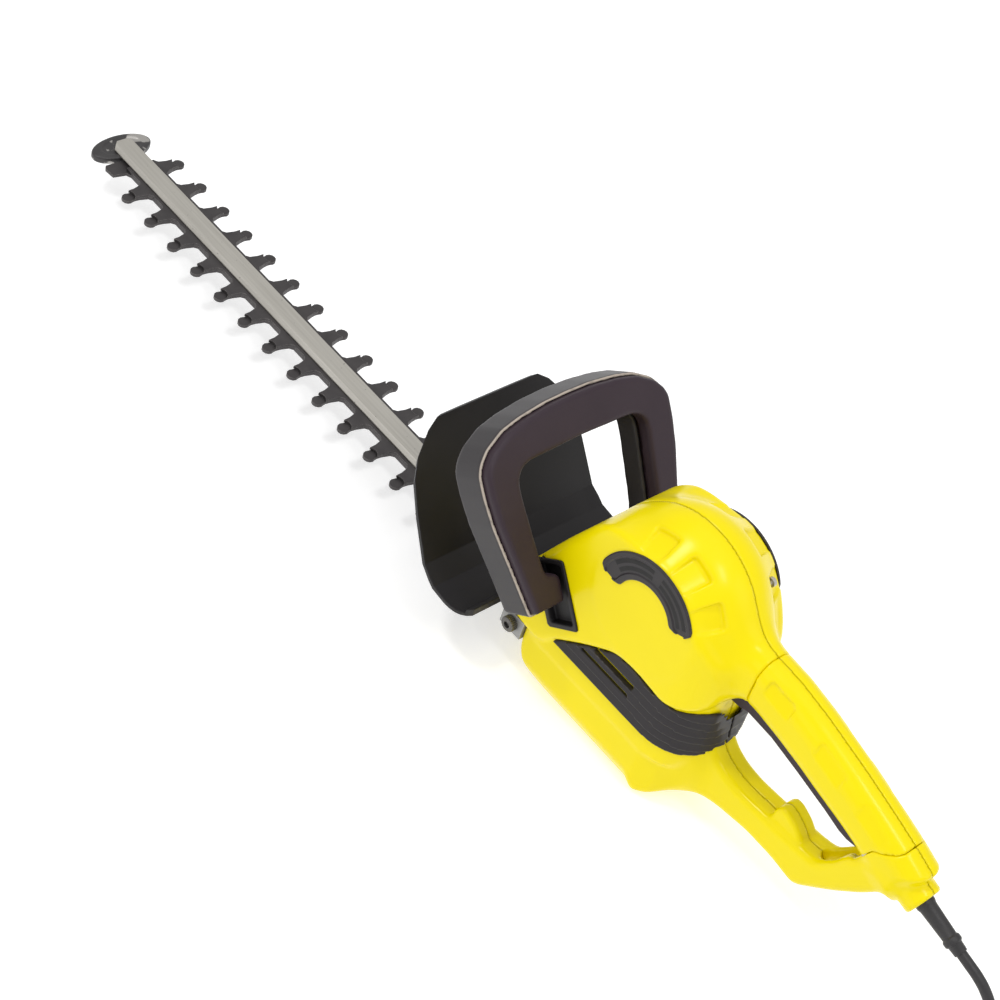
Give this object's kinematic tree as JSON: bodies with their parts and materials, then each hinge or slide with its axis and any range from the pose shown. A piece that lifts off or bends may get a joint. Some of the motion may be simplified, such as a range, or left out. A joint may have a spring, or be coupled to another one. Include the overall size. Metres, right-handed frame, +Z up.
{
  "type": "hedge trimmer",
  "caption": "Corded electric hedge trimmer with a two-sided toothed blade, leaning front loop handle with switch bar, hand guard and trigger grip.",
  "frame": {"origin": "centre of the trimmer's footprint on the surface that it stands on, cord left out", "axes": "+X along the blade towards the cord end, -X towards the blade tip, +Z up, -Y the tool's left side"},
  "size_m": [0.9703, 0.194, 0.202],
  "materials": {
    "yellow_housing": "glossy moulded yellow",
    "black_plastic": "fine moulded texture, black",
    "grey_plastic": "satin dark grey",
    "warm_black_plastic": "soft-feel warm black",
    "dark_steel": "black oxide hardened steel",
    "bright_steel": "zinc plated steel",
    "cast_alloy": "die-cast, as cast",
    "gear_steel": "machined, oiled",
    "lamination": "stamped stack",
    "copper": "enamelled winding wire",
    "brass": "pressed brass",
    "carbon": "pressed carbon",
    "switch_plastic": "moulded",
    "plunger_plastic": "moulded white",
    "capacitor_case": "moulded case",
    "cord_rubber": "flexible cord sheath"
  },
  "bodies": {
    "machine": {"housing_left": "yellow_housing", "housing_right": "yellow_housing", "belly_trim_left": "grey_plastic", "belly_trim_right": "grey_plastic", "vent_left": "black_plastic", "vent_right": "black_plastic", "grip_cover_left": "yellow_housing", "grip_cover_right": "yellow_housing", "front_bail": "grey_plastic", "handle_socket_left": "black_plastic", "handle_socket_right": "black_plastic", "hand_guard": "black_plastic", "guard_screws": "bright_steel", "gearcase_base": "cast_alloy", "gearcase_cover": "cast_alloy", "side_bolts": "bright_steel", "comb_bolts": "bright_steel", "guide_bar": "bright_steel", "bar_screws": "bright_steel", "tip_cap": "black_plastic", "fixed_comb": "dark_steel", "gear_shaft": "gear_steel", "stator": "lamination", "field_coils": "copper", "lower_bearing": "bright_steel", "upper_bearing": "bright_steel", "brush_holders": "brass", "carbon_brushes": "carbon", "trigger_pin": "bright_steel", "trigger_spring": "bright_steel", "rear_switch": "switch_plastic", "front_switch": "switch_plastic", "capacitor": "capacitor_case", "inner_lead": "cord_rubber", "cord_clamp": "black_plastic", "strain_relief": "cord_rubber", "cord": "cord_rubber", "plug": "cord_rubber", "housing_screws": "bright_steel"},
    "rotor": {"armature_shaft": "gear_steel", "armature_core": "lamination", "armature_windings": "copper", "commutator": "copper", "motor_fan": "black_plastic", "pinion": "gear_steel"},
    "crank_gear": {"drive_gear": "gear_steel"},
    "cutter": {"cutter_blade": "dark_steel", "cutter_pivot_pin": "gear_steel"},
    "rod": {"connecting_rod": "gear_steel"},
    "trigger_lever": {"trigger": "warm_black_plastic"},
    "plunger_rear": {"rear_plunger": "plunger_plastic"},
    "switch_bar": {"handle_switch_bar": "warm_black_plastic"},
    "plunger_front": {"front_plunger": "plunger_plastic"}
  },
  "joints": [
    {"name": "rotor_spin", "type": "hinge", "parent": "machine", "child": "rotor", "pos_m": [0.16, 0, 0.098], "axis": [0, 0, 1], "continuous": true},
    {"name": "gear_spin", "type": "hinge", "parent": "machine", "child": "crank_gear", "pos_m": [0.129, 0, 0.05], "axis": [0, 0, 1], "continuous": true},
    {"name": "cutter_slide", "type": "slide", "parent": "machine", "child": "cutter", "axis": [1, 0, 0], "range_m": [-0.01, 0.01]},
    {"name": "rod_swing", "type": "hinge", "parent": "cutter", "child": "rod", "pos_m": [0.09234, 0, 0.042], "axis": [0, 0, 1], "range_deg": [-30.5, 0]},
    {"name": "trigger_pull", "type": "hinge", "parent": "machine", "child": "trigger_lever", "pos_m": [0.366, 0, 0.104], "axis": [0, 1, 0], "range_deg": [0, 3], "stiffness_Nm_per_rad": 3, "springref_deg": -4.58, "deforming": ["trigger_spring"]},
    {"name": "rear_plunger_press", "type": "slide", "parent": "machine", "child": "plunger_rear", "axis": [0, 0, 1], "range_m": [0, 0.0048]},
    {"name": "switch_bar_press", "type": "slide", "parent": "machine", "child": "switch_bar", "axis": [-0.7848, 0, -0.6198], "range_m": [0, 0.003], "stiffness_N_per_m": 1500, "springref_m": -0.003},
    {"name": "front_plunger_press", "type": "slide", "parent": "machine", "child": "plunger_front", "axis": [-0.7848, 0, -0.6198], "range_m": [0, 0.003]}
  ],
  "couplings": [
    {"joint": "gear_spin", "follows": "rotor_spin", "ratio": -0.24},
    {"joint": "rear_plunger_press", "follows": "trigger_pull", "m_per_rad": 0.09},
    {"joint": "front_plunger_press", "follows": "switch_bar_press", "ratio": 1}
  ]
}
